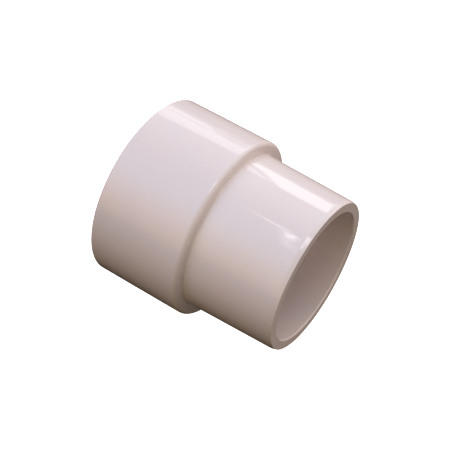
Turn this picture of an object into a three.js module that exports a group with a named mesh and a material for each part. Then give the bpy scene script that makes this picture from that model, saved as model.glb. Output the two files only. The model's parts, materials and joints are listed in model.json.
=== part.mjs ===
// Reducing coupling: one moulded white PVC fitting that joins a 2 in pipe to a 1 1/2 in pipe.
// Millimetres, +Z up. The pipe axis is +X, from the large socket towards the small one, and the
// origin is on that axis, halfway between the two rims. The fitting lies on its side.
import * as THREE from 'three';

// Outside of the large barrel, which narrows a little towards the shoulder
const LARGE_LENGTH = 35.5;
const LARGE_RIM_DIAMETER = 68.0;
const LARGE_SHOULDER_DIAMETER = 67.7;
const LARGE_RIM_ROUND = 0.4;
const SHOULDER_ROUND = 1.7;

// Outside of the small barrel, with its mould draft
const SMALL_LENGTH = 34.9;
const SMALL_ROOT_DIAMETER = 58.9;
const ROOT_FILLET = 0.4;

// The small barrel's end: a soft bend into a shallow bevel, then a crisp corner at the flat rim
const BEVEL_LENGTH = 1.6;
const BEVEL_START_DIAMETER = 57.1;
const BEVEL_BEND = 2.0;
const SMALL_RIM_DIAMETER = 56.1;

// Tapered sockets: diameter at the mouth, diameter at the bottom, and depth
const LARGE_SOCKET_MOUTH = 60.63;
const LARGE_SOCKET_BOTTOM = 60.17;
const LARGE_SOCKET_DEPTH = 30.0;
const SMALL_SOCKET_MOUTH = 48.56;
const SMALL_SOCKET_BOTTOM = 48.11;
const SMALL_SOCKET_DEPTH = 29.0;
const LEAD_IN = 0.45;

// Waterway between the pipe stops: a cone from one pipe's inside diameter to the other's
const LARGE_PIPE_INSIDE = 52.5;
const SMALL_PIPE_INSIDE = 40.9;
const STOP_EDGE_ROUND = 0.5;

// Facets: each ring is a polygon whose flats touch the true circle, with a flat at the bottom
const RING_SEGMENTS = 72;
const ROUND_STEPS = 4;
const RING_STEP = (2 * Math.PI) / RING_SEGMENTS;
const FLATS_TO_CORNERS = 1 / Math.cos(RING_STEP / 2);

const TOTAL_LENGTH = LARGE_LENGTH + SMALL_LENGTH;
const MID_LENGTH = TOTAL_LENGTH / 2;

// A corner of the wall's section: its distance from the large rim, its diameter and its round
function corner(fromLargeRim, diameter, round = 0) {
  return { at: new THREE.Vector2(diameter / 2, fromLargeRim - MID_LENGTH), round };
}

// The arc that replaces one corner, tangent to the two straight sides that meet there
function roundedCorner(before, { at, round }, after) {
  if (round === 0) return [at];
  const toBefore = before.at.clone().sub(at).normalize();
  const toAfter = after.at.clone().sub(at).normalize();
  const halfAngle = Math.acos(toBefore.dot(toAfter)) / 2;
  const bisector = toBefore.clone().add(toAfter).normalize();
  const centre = at.clone().addScaledVector(bisector, round / Math.sin(halfAngle));
  const start = at.clone().addScaledVector(toBefore, round / Math.tan(halfAngle));
  const sweep = Math.sign(toBefore.cross(toAfter)) * (2 * halfAngle - Math.PI);
  const points = [];
  for (let step = 0; step <= ROUND_STEPS; step += 1) {
    points.push(start.clone().rotateAround(centre, (sweep * step) / ROUND_STEPS));
  }
  return points;
}

// The wall's section as a closed outline: along the outside to the small rim, and back inside
function wallSection() {
  const smallSocketEnd = TOTAL_LENGTH - SMALL_SOCKET_DEPTH;
  const corners = [
    corner(0, LARGE_RIM_DIAMETER, LARGE_RIM_ROUND),
    corner(LARGE_LENGTH, LARGE_SHOULDER_DIAMETER, SHOULDER_ROUND),
    corner(LARGE_LENGTH, SMALL_ROOT_DIAMETER, ROOT_FILLET),
    corner(TOTAL_LENGTH - BEVEL_LENGTH, BEVEL_START_DIAMETER, BEVEL_BEND),
    corner(TOTAL_LENGTH, SMALL_RIM_DIAMETER),
    corner(TOTAL_LENGTH, SMALL_SOCKET_MOUTH + 2 * LEAD_IN),
    corner(TOTAL_LENGTH - LEAD_IN, SMALL_SOCKET_MOUTH),
    corner(smallSocketEnd, SMALL_SOCKET_BOTTOM),
    corner(smallSocketEnd, SMALL_PIPE_INSIDE, STOP_EDGE_ROUND),
    corner(LARGE_SOCKET_DEPTH, LARGE_PIPE_INSIDE, STOP_EDGE_ROUND),
    corner(LARGE_SOCKET_DEPTH, LARGE_SOCKET_BOTTOM),
    corner(LEAD_IN, LARGE_SOCKET_MOUTH),
    corner(0, LARGE_SOCKET_MOUTH + 2 * LEAD_IN),
  ];
  const outline = corners.flatMap((here, index) => {
    const before = corners.at(index - 1);
    const after = corners[(index + 1) % corners.length];
    return roundedCorner(before, here, after);
  });
  outline.push(outline[0].clone());
  return outline;
}

function couplingBody() {
  const section = wallSection().map((p) => new THREE.Vector2(p.x * FLATS_TO_CORNERS, p.y));
  const geometry = new THREE.LatheGeometry(section, RING_SEGMENTS, RING_STEP / 2);
  const whitePvc = new THREE.MeshStandardMaterial({
    color: 0xe4dadd,
    roughness: 0.22,
    metalness: 0,
  });
  const body = new THREE.Mesh(geometry, whitePvc);
  body.name = 'coupling_body';
  body.rotation.z = -Math.PI / 2;
  return body;
}

const coupling = new THREE.Group();
coupling.add(couplingBody());

export default coupling;
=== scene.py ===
"""White moulded PVC reducing coupling: the look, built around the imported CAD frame.

Metres, +Z up. The pipe axis is +X, from the large socket to the small one, and the fitting lies
on its side. The body is one fine lathe of the wall's section. Angles round the pipe axis are in
degrees from straight up, and grow towards the camera's side (-Y).
"""

import json
import math

import bpy
from mathutils import Matrix, Quaternion, Vector, noise


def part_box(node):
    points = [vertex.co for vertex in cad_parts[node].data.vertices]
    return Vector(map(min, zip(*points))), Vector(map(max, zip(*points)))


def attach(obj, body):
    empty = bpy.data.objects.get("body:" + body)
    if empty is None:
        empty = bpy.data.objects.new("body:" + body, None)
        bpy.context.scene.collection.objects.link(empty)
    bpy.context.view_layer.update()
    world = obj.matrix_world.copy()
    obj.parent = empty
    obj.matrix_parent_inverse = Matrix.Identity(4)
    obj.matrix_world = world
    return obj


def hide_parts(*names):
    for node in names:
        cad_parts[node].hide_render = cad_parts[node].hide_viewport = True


MM = 0.001

# Where the section's corners stand along the axis, from the frame
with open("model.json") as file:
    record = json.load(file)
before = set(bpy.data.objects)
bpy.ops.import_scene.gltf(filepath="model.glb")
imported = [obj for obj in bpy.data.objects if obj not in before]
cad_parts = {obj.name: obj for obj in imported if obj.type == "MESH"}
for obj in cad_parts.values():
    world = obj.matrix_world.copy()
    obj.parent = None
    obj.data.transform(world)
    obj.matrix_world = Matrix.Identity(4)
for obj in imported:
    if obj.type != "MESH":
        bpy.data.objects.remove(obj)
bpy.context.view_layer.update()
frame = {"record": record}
BODY_LOW, BODY_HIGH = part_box("coupling_body")
MOUNT_X = {mount["name"]: mount["pos_m"][0] for mount in frame["record"]["mounts"]}
LARGE_RIM_X = BODY_LOW.x
SMALL_RIM_X = BODY_HIGH.x
SHOULDER_X = MOUNT_X["shoulder_face"]
LARGE_STOP_X = MOUNT_X["large_pipe_stop"]
SMALL_STOP_X = MOUNT_X["small_pipe_stop"]
FLOOR_Z = BODY_LOW.z

# Radii of the section's corners
LARGE_RIM_RADIUS = BODY_HIGH.z
LARGE_SHOULDER_RADIUS = 33.85 * MM
SMALL_ROOT_RADIUS = 29.45 * MM
LARGE_SOCKET_MOUTH_RADIUS = 30.315 * MM
LARGE_SOCKET_BOTTOM_RADIUS = 30.085 * MM
SMALL_SOCKET_MOUTH_RADIUS = 24.28 * MM
SMALL_SOCKET_BOTTOM_RADIUS = 24.055 * MM
LARGE_WATERWAY_RADIUS = 26.25 * MM
SMALL_WATERWAY_RADIUS = 20.45 * MM
LEAD_IN = 0.45 * MM

# The small barrel's end: a soft bend into a shallow bevel, then a crisp corner at the flat rim
BEVEL_LENGTH = 1.6 * MM
BEVEL_START_RADIUS = 28.55 * MM
BEVEL_BEND = 4.0 * MM
SMALL_RIM_RADIUS = 28.12 * MM
SMALL_RIM_ROUND = 0.12 * MM

# Rounds on the section's other corners
LARGE_RIM_ROUND = 0.4 * MM
SHOULDER_ROUND = 1.7 * MM
ROOT_FILLET = 0.4 * MM
LIP_ROUND = 0.2 * MM
LEAD_IN_ROUND = 0.12 * MM
SOCKET_BOTTOM_FILLET = 0.3 * MM
STOP_EDGE_ROUND = 0.5 * MM

# Mesh steps: degrees for each step of a round, the longest row on a straight side, the row that
# supports each end of a round, and degrees round the axis for each column
ARC_STEP = 7.5
LONGEST_ROW = 1.5 * MM
SUPPORT_ROW = 0.12 * MM
COLUMN_STEP = 2.0

# Moulding waviness of the outside: how deep it dips and how far apart its waves are
WAVE_DEPTH = 0.03 * MM
WAVE_LENGTH = 9 * MM

# White PVC: its colours, and how rough it is between and on the handling scuffs
PVC_IOR = 1.53
PVC_COLOUR = (0.885, 0.83, 0.832, 1)
PVC_CLOUD_COLOUR = (0.872, 0.828, 0.84, 1)
SPECK_COLOUR = (0.55, 0.5, 0.47, 1)
SPECK_SHARE = 0.35
ROUGHNESS_LOW = 0.045
ROUGHNESS_HIGH = 0.07
SCUFF_ROUGHNESS = 0.12

# Its noise patterns, each as (size of a patch, detail)
CLOUD_NOISE = (9 * MM, 3.0)
GLOSS_NOISE = (5 * MM, 2.0)
SCUFF_NOISE = (6 * MM, 4.0)
SPECK_NOISE = (1.2 * MM, 1.0)
GRAIN_NOISE = (0.7 * MM, 2.0)

# The noise values between which each pattern goes from nothing to full
BROAD_RANGE = (0.3, 0.7)
SCUFF_RANGE = (0.66, 0.74)
SPECK_RANGE = (0.76, 0.8)
SCUFF_STRETCH = (1, 6, 6)
SCUFF_TURN = (0.3, 0.5, 0.9)

# The grain's height, and how deep a scuff is beside it
GRAIN_DEPTH = 0.0011 * MM
SCUFF_DEPTH_SHARE = 0.6

# Camera at the photo's viewing angle. Its angles are in degrees, and its lens and sensor in
# millimetres. It aims to the left of the small rim's centre and a little above it.
CAMERA_AZIMUTH = 34.66
CAMERA_ELEVATION = 52.69
CAMERA_LENS = 93.45
SENSOR_WIDTH = 36.0
CAMERA_DISTANCE = 396.58 * MM
AIM_LEFT = 31.0 * MM
AIM_UP = 17.7 * MM

# Soft dome above the horizon: glows at a compass bearing (from +Y towards +X) and an elevation in
# degrees. Each fades by its power of the cosine of the angle from its middle.
DOME = {
    "ceiling": (0, 90, 8, (0.12, 0.14, 0.3)),
    "back_ceiling": (-45, 60, 8, (0.51, 0.47, 0.57)),
    "left_skylight": (-135, 50, 8, (0.8, 1.4, 1.9)),
    "front_corner": (-135, 25, 8, (0.9, 0.2, 0.0)),
    "front_wall": (180, 25, 8, (1.04, 0.79, 0.29)),
    "back_wall": (0, 0, 2, (1.6, 1.48, 1.32)),
    "right_wall": (90, 0, 2, (1.35, 1.15, 1.0)),
}
# Below the horizon: a dark table, lit only towards the back wall
TABLE_GLOW = (0, 0, 2, (0.82, 0.66, 0.6))
# The heights, as the sine of the elevation, between which the table blends into the dome
HORIZON_LOW = 0.0
HORIZON_HIGH = 0.18
# What the camera sees behind the fitting and under it
BACKDROP_COLOUR = (1.0, 1.0, 1.0, 1)
FLOOR_COLOUR = (0.85, 0.85, 0.85, 1)
FLOOR_GLOW_COLOUR = (1, 1, 1, 1)
FLOOR_GLOW = 1.2
FLOOR_SIZE = 8.0

# A little more contrast than the plain view, as the photo has
VIEW_GAMMA = 0.77

# Rectangular lamps: bearing and elevation as in the dome, the degrees of sky that each fills
# across and up, its brightness, and its roll about its aim in degrees. A roll of 90 plus the
# bearing sets a lamp near the top square with the pipe.
LIGHT_DISTANCE = 2.0
LAMPS = {
    "window_right_low": (-15, 15, 8, 9, 1.6, 0),
    "window_right_high": (-14.5, 25.7, 7.5, 12.5, 2.3, 0),
    "window_left_low": (-29, 13, 11, 5.5, 1.0, 0),
    "window_left_high": (-27.5, 24.5, 14, 14, 1.3, 0),
    "overhead": (90, 85.5, 19, 18, 4.0, 0),
    "ceiling_lamp": (-94.8, 76.9, 6.5, 0.4, 11, -4.8),
    "ceiling_lamp_arm": (-124.9, 73.95, 15, 0.3, 5, -34.9),
    "ceiling_tube": (-77.0, 74.6, 1.3, 3.6, 1.6, 13),
    "ceiling_tube_end": (-77.0, 75.7, 3.0, 1.4, 2.0, 13),
}


def section_corners():
    """The wall's section as (x, radius, round) corners: out along the outside, back inside."""
    return [
        (LARGE_RIM_X, LARGE_RIM_RADIUS, LARGE_RIM_ROUND),
        (SHOULDER_X, LARGE_SHOULDER_RADIUS, SHOULDER_ROUND),
        (SHOULDER_X, SMALL_ROOT_RADIUS, ROOT_FILLET),
        (SMALL_RIM_X - BEVEL_LENGTH, BEVEL_START_RADIUS, BEVEL_BEND),
        (SMALL_RIM_X, SMALL_RIM_RADIUS, SMALL_RIM_ROUND),
        (SMALL_RIM_X, SMALL_SOCKET_MOUTH_RADIUS + LEAD_IN, LIP_ROUND),
        (SMALL_RIM_X - LEAD_IN, SMALL_SOCKET_MOUTH_RADIUS, LEAD_IN_ROUND),
        (SMALL_STOP_X, SMALL_SOCKET_BOTTOM_RADIUS, SOCKET_BOTTOM_FILLET),
        (SMALL_STOP_X, SMALL_WATERWAY_RADIUS, STOP_EDGE_ROUND),
        (LARGE_STOP_X, LARGE_WATERWAY_RADIUS, STOP_EDGE_ROUND),
        (LARGE_STOP_X, LARGE_SOCKET_BOTTOM_RADIUS, SOCKET_BOTTOM_FILLET),
        (LARGE_RIM_X + LEAD_IN, LARGE_SOCKET_MOUTH_RADIUS, LEAD_IN_ROUND),
        (LARGE_RIM_X, LARGE_SOCKET_MOUTH_RADIUS + LEAD_IN, LEAD_IN_ROUND),
    ]


def corner_arc(before, here, after):
    """The arc that rounds one corner, as points tangent to both of its straight sides."""
    at = Vector(here[:2])
    to_before = (Vector(before[:2]) - at).normalized()
    to_after = (Vector(after[:2]) - at).normalized()
    half = to_before.angle(to_after) / 2
    centre = at + (to_before + to_after).normalized() * (here[2] / math.sin(half))
    spoke = at + to_before * (here[2] / math.tan(half)) - centre
    turn = math.pi - 2 * half
    if to_before.cross(to_after) > 0:
        turn = -turn
    steps = max(3, math.ceil(abs(math.degrees(turn)) / ARC_STEP))
    points = []
    for step in range(steps + 1):
        turned = Matrix.Rotation(turn * step / steps, 2) @ spoke
        points.append(centre + turned)
    return points


def side_rows(start, end):
    """Points strictly between two arcs: a support row close to each, and even rows between."""
    length = (end - start).length
    support = min(SUPPORT_ROW, length / 4)
    inner = length - 2 * support
    count = max(1, math.ceil(inner / LONGEST_ROW))
    along = [support + inner * step / count for step in range(count + 1)]
    return [start + (end - start) * (distance / length) for distance in along]


def section_rows():
    """The closed section as points (x, radius), one for each ring of the body's mesh."""
    corners = section_corners()
    arcs = []
    for index, here in enumerate(corners):
        before = corners[index - 1]
        after = corners[(index + 1) % len(corners)]
        arcs.append(corner_arc(before, here, after))
    rows = []
    for index, arc in enumerate(arcs):
        following = arcs[(index + 1) % len(arcs)]
        rows.extend(arc)
        rows.extend(side_rows(arc[-1], following[0]))
    return [(min(max(x, LARGE_RIM_X), SMALL_RIM_X), radius) for x, radius in rows]


def column_angles():
    """The angles round the axis, in degrees from straight up, of the mesh's columns."""
    count = round(360 / COLUMN_STEP)
    return [index * COLUMN_STEP for index in range(count)]


def dip(x, radius, angle):
    """How far the outside dips inwards at a point, in slow waves. The inside and the rims don't."""
    if radius < SMALL_RIM_RADIUS or x > SMALL_RIM_X - BEVEL_LENGTH or x < LARGE_RIM_X + BEVEL_LENGTH:
        return 0.0
    around = (-radius * math.sin(angle), radius * math.cos(angle))
    return WAVE_DEPTH * (0.5 + 0.5 * noise.noise(Vector((x, *around)) / WAVE_LENGTH))


def body_mesh():
    """The coupling's closed mesh, one ring of vertices for each row of the section."""
    rows = section_rows()
    angles = [math.radians(angle) for angle in column_angles()]
    vertices = []
    for x, radius in rows:
        for angle in angles:
            reach = radius - dip(x, radius, angle)
            vertices.append((x, -reach * math.sin(angle), reach * math.cos(angle)))
    width = len(angles)
    faces = []
    for row in range(len(rows)):
        next_row = (row + 1) % len(rows)
        for column in range(width):
            next_column = (column + 1) % width
            faces.append((
                row * width + column,
                row * width + next_column,
                next_row * width + next_column,
                next_row * width + column,
            ))
    mesh = bpy.data.meshes.new("coupling")
    mesh.from_pydata(vertices, [], faces)
    mesh.polygons.foreach_set("use_smooth", [True] * len(faces))
    mesh.update()
    return mesh


def noise_texture(tree, coordinates, pattern):
    """Smooth noise for a pattern (size, detail), whose patches are about size across."""
    size, detail = pattern
    texture = tree.nodes.new("ShaderNodeTexNoise")
    texture.inputs["Scale"].default_value = 1 / size
    texture.inputs["Detail"].default_value = detail
    tree.links.new(coordinates, texture.inputs["Vector"])
    return texture.outputs["Fac"]


def spread(tree, value, value_range, to_low=0.0, to_high=1.0):
    """The value's range (low, high), spread smoothly over another range."""
    mapped = tree.nodes.new("ShaderNodeMapRange")
    mapped.interpolation_type = "SMOOTHSTEP"
    mapped.inputs["From Min"].default_value = value_range[0]
    mapped.inputs["From Max"].default_value = value_range[1]
    mapped.inputs["To Min"].default_value = to_low
    mapped.inputs["To Max"].default_value = to_high
    tree.links.new(value, mapped.inputs["Value"])
    return mapped.outputs["Result"]


def stretched(tree, coordinates, factors, turn):
    """Coordinates scaled by a factor on each axis and turned, so that noise on them is streaky."""
    mapping = tree.nodes.new("ShaderNodeMapping")
    mapping.inputs["Scale"].default_value = factors
    mapping.inputs["Rotation"].default_value = turn
    tree.links.new(coordinates, mapping.inputs["Vector"])
    return mapping.outputs["Vector"]


def math_node(tree, operation, first, second):
    """A math operation on two values, each a socket or a plain number."""
    node = tree.nodes.new("ShaderNodeMath")
    node.operation = operation
    for socket, value in zip(node.inputs, (first, second)):
        if isinstance(value, float):
            socket.default_value = value
            continue
        tree.links.new(value, socket)
    return node.outputs[0]


def mixed_colour(tree, share, first, second):
    """A share of the second colour over the first. The first is a socket or a plain colour."""
    mix = tree.nodes.new("ShaderNodeMix")
    mix.data_type = "RGBA"
    mix.inputs["B"].default_value = second
    tree.links.new(share, mix.inputs["Factor"])
    if isinstance(first, tuple):
        mix.inputs["A"].default_value = first
    else:
        tree.links.new(first, mix.inputs["A"])
    return mix.outputs["Result"]


def pvc_colour(tree, place):
    """White PVC with faint clouding and a few faint specks."""
    clouds = spread(tree, noise_texture(tree, place, CLOUD_NOISE), BROAD_RANGE)
    clouded = mixed_colour(tree, clouds, PVC_COLOUR, PVC_CLOUD_COLOUR)
    specks = spread(tree, noise_texture(tree, place, SPECK_NOISE), SPECK_RANGE)
    speck_share = math_node(tree, "MULTIPLY", specks, SPECK_SHARE)
    return mixed_colour(tree, speck_share, clouded, SPECK_COLOUR)


def scuff_pattern(tree, place):
    """Light, streaky handling marks, from 0 to 1."""
    streaks = noise_texture(tree, stretched(tree, place, SCUFF_STRETCH, SCUFF_TURN), SCUFF_NOISE)
    return spread(tree, streaks, SCUFF_RANGE)


def pvc_roughness(tree, place, scuffs):
    """A gloss that varies slowly, and is duller on the scuffs."""
    gloss_noise = noise_texture(tree, place, GLOSS_NOISE)
    gloss = spread(tree, gloss_noise, BROAD_RANGE, ROUGHNESS_LOW, ROUGHNESS_HIGH)
    return math_node(tree, "ADD", gloss, math_node(tree, "MULTIPLY", scuffs, SCUFF_ROUGHNESS))


def pvc_normal(tree, place, scuffs):
    """The very fine grain of the surface, with the scuffs pressed into it."""
    grain = noise_texture(tree, place, GRAIN_NOISE)
    scuff_depth = math_node(tree, "MULTIPLY", scuffs, SCUFF_DEPTH_SHARE)
    bump = tree.nodes.new("ShaderNodeBump")
    bump.inputs["Distance"].default_value = GRAIN_DEPTH
    bump.inputs["Strength"].default_value = 1.0
    tree.links.new(math_node(tree, "SUBTRACT", grain, scuff_depth), bump.inputs["Height"])
    return bump.outputs["Normal"]


def white_pvc():
    """Glossy white PVC, with a varying colour, gloss and grain."""
    material = bpy.data.materials.new("white_pvc")
    material.use_nodes = True
    tree = material.node_tree
    shader = tree.nodes["Principled BSDF"]
    shader.inputs["IOR"].default_value = PVC_IOR
    place = tree.nodes.new("ShaderNodeTexCoord").outputs["Object"]
    scuffs = scuff_pattern(tree, place)
    tree.links.new(pvc_colour(tree, place), shader.inputs["Base Color"])
    tree.links.new(pvc_roughness(tree, place, scuffs), shader.inputs["Roughness"])
    tree.links.new(pvc_normal(tree, place, scuffs), shader.inputs["Normal"])
    return material


def make_body():
    """The one piece of the object, in place of the CAD's solid."""
    body = bpy.data.objects.new("coupling", body_mesh())
    bpy.context.scene.collection.objects.link(body)
    body.data.materials.append(white_pvc())
    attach(body, "root")
    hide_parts("coupling_body")


def make_camera():
    """A long lens at the photo's angle. Here right, up and forward are the camera's own axes."""
    azimuth = math.radians(CAMERA_AZIMUTH)
    elevation = math.radians(CAMERA_ELEVATION)
    right = Vector((math.cos(azimuth), math.sin(azimuth), 0))
    forward = Vector((
        -math.sin(azimuth) * math.cos(elevation),
        math.cos(azimuth) * math.cos(elevation),
        -math.sin(elevation),
    ))
    up = right.cross(forward)
    data = bpy.data.cameras.new("camera")
    data.lens = CAMERA_LENS
    data.sensor_width = SENSOR_WIDTH
    camera = bpy.data.objects.new("camera", data)
    bpy.context.scene.collection.objects.link(camera)
    small_rim_centre = Vector((SMALL_RIM_X, 0, 0))
    aim = small_rim_centre - AIM_LEFT * right + AIM_UP * up
    camera.location = aim - CAMERA_DISTANCE * forward
    camera.rotation_mode = "QUATERNION"
    camera.rotation_quaternion = forward.to_track_quat("-Z", "Y")
    bpy.context.scene.camera = camera


def direction_of(bearing, elevation):
    """The unit vector towards a compass bearing, from +Y towards +X, and an elevation, in degrees."""
    flat = math.cos(math.radians(elevation))
    return Vector((
        flat * math.sin(math.radians(bearing)),
        flat * math.cos(math.radians(bearing)),
        math.sin(math.radians(elevation)),
    ))


def make_lamp(name, bearing, elevation, across, up, brightness, roll):
    """A rectangular lamp that fills across by up degrees of the sky, aimed at the fitting."""
    data = bpy.data.lights.new(name, "AREA")
    data.shape = "RECTANGLE"
    data.size = 2 * LIGHT_DISTANCE * math.tan(math.radians(across / 2))
    data.size_y = 2 * LIGHT_DISTANCE * math.tan(math.radians(up / 2))
    data.energy = brightness * math.pi * data.size * data.size_y
    lamp = bpy.data.objects.new(name, data)
    bpy.context.scene.collection.objects.link(lamp)
    towards = direction_of(bearing, elevation)
    turned = Quaternion((0, 0, 1), math.radians(roll))
    lamp.location = towards * LIGHT_DISTANCE
    lamp.rotation_mode = "QUATERNION"
    lamp.rotation_quaternion = towards.to_track_quat("Z", "Y") @ turned
    lamp.visible_camera = False


def glow(tree, direction, bearing, elevation, power, colour):
    """A soft patch of dome light: its colour, scaled by a power of the cosine from its middle."""
    cosine = tree.nodes.new("ShaderNodeVectorMath")
    cosine.operation = "DOT_PRODUCT"
    cosine.inputs[1].default_value = direction_of(bearing, elevation)
    tree.links.new(direction, cosine.inputs[0])
    facing = math_node(tree, "MAXIMUM", cosine.outputs["Value"], 0.0)
    faded = math_node(tree, "POWER", facing, float(power))
    coloured = tree.nodes.new("ShaderNodeVectorMath")
    coloured.operation = "SCALE"
    coloured.inputs[0].default_value = colour
    tree.links.new(faded, coloured.inputs["Scale"])
    return coloured.outputs[0]


def add_colours(tree, first, second):
    """The sum of two colours."""
    adding = tree.nodes.new("ShaderNodeVectorMath")
    tree.links.new(first, adding.inputs[0])
    tree.links.new(second, adding.inputs[1])
    return adding.outputs[0]


def dome_light(tree, direction):
    """All of the dome's patches together."""
    total = None
    for patch in DOME.values():
        light = glow(tree, direction, *patch)
        total = light if total is None else add_colours(tree, total, light)
    return total


def joined_at_horizon(tree, direction, above, below):
    """One light below the horizon, which blends into another just above it."""
    height = tree.nodes.new("ShaderNodeSeparateXYZ")
    tree.links.new(direction, height.inputs[0])
    sky = tree.nodes.new("ShaderNodeMix")
    sky.data_type = "VECTOR"
    share = spread(tree, height.outputs["Z"], (HORIZON_LOW, HORIZON_HIGH))
    tree.links.new(share, sky.inputs["Factor"])
    tree.links.new(below, sky.inputs["A"])
    tree.links.new(above, sky.inputs["B"])
    return sky.outputs["Result"]


def make_dome():
    """A studio dome that lights the fitting, behind a plain pale backdrop."""
    world = bpy.data.worlds.new("studio_dome")
    bpy.context.scene.world = world
    world.use_nodes = True
    tree = world.node_tree
    tree.nodes.clear()
    direction = tree.nodes.new("ShaderNodeTexCoord").outputs["Generated"]
    above = dome_light(tree, direction)
    below = glow(tree, direction, *TABLE_GLOW)
    dome = tree.nodes.new("ShaderNodeBackground")
    tree.links.new(joined_at_horizon(tree, direction, above, below), dome.inputs["Color"])
    backdrop = tree.nodes.new("ShaderNodeBackground")
    backdrop.inputs["Color"].default_value = BACKDROP_COLOUR
    seen = tree.nodes.new("ShaderNodeLightPath").outputs["Is Camera Ray"]
    chosen = tree.nodes.new("ShaderNodeMixShader")
    tree.links.new(seen, chosen.inputs[0])
    tree.links.new(dome.outputs[0], chosen.inputs[1])
    tree.links.new(backdrop.outputs[0], chosen.inputs[2])
    output = tree.nodes.new("ShaderNodeOutputWorld")
    tree.links.new(chosen.outputs[0], output.inputs["Surface"])


def make_floor():
    """A plain pale floor that the camera sees, lifted to a clean white by a little glow.
    The light that reaches the fitting from below comes from the dome instead."""
    half = FLOOR_SIZE / 2
    corners = [
        (-half, -half, FLOOR_Z),
        (half, -half, FLOOR_Z),
        (half, half, FLOOR_Z),
        (-half, half, FLOOR_Z),
    ]
    mesh = bpy.data.meshes.new("floor")
    mesh.from_pydata(corners, [], [(0, 1, 2, 3)])
    floor = bpy.data.objects.new("floor", mesh)
    bpy.context.scene.collection.objects.link(floor)
    material = bpy.data.materials.new("pale_floor")
    material.use_nodes = True
    shader = material.node_tree.nodes["Principled BSDF"]
    shader.inputs["Base Color"].default_value = FLOOR_COLOUR
    shader.inputs["Roughness"].default_value = 1.0
    shader.inputs["Specular IOR Level"].default_value = 0.0
    shader.inputs["Emission Color"].default_value = FLOOR_GLOW_COLOUR
    shader.inputs["Emission Strength"].default_value = FLOOR_GLOW
    mesh.materials.append(material)
    floor.visible_diffuse = False
    floor.visible_glossy = False
    floor.visible_transmission = False
    floor.visible_shadow = False


make_camera()
make_dome()
for lamp_name, lamp_values in LAMPS.items():
    make_lamp(lamp_name, *lamp_values)
make_floor()
make_body()
bpy.context.scene.view_settings.view_transform = "Standard"
bpy.context.scene.view_settings.gamma = VIEW_GAMMA
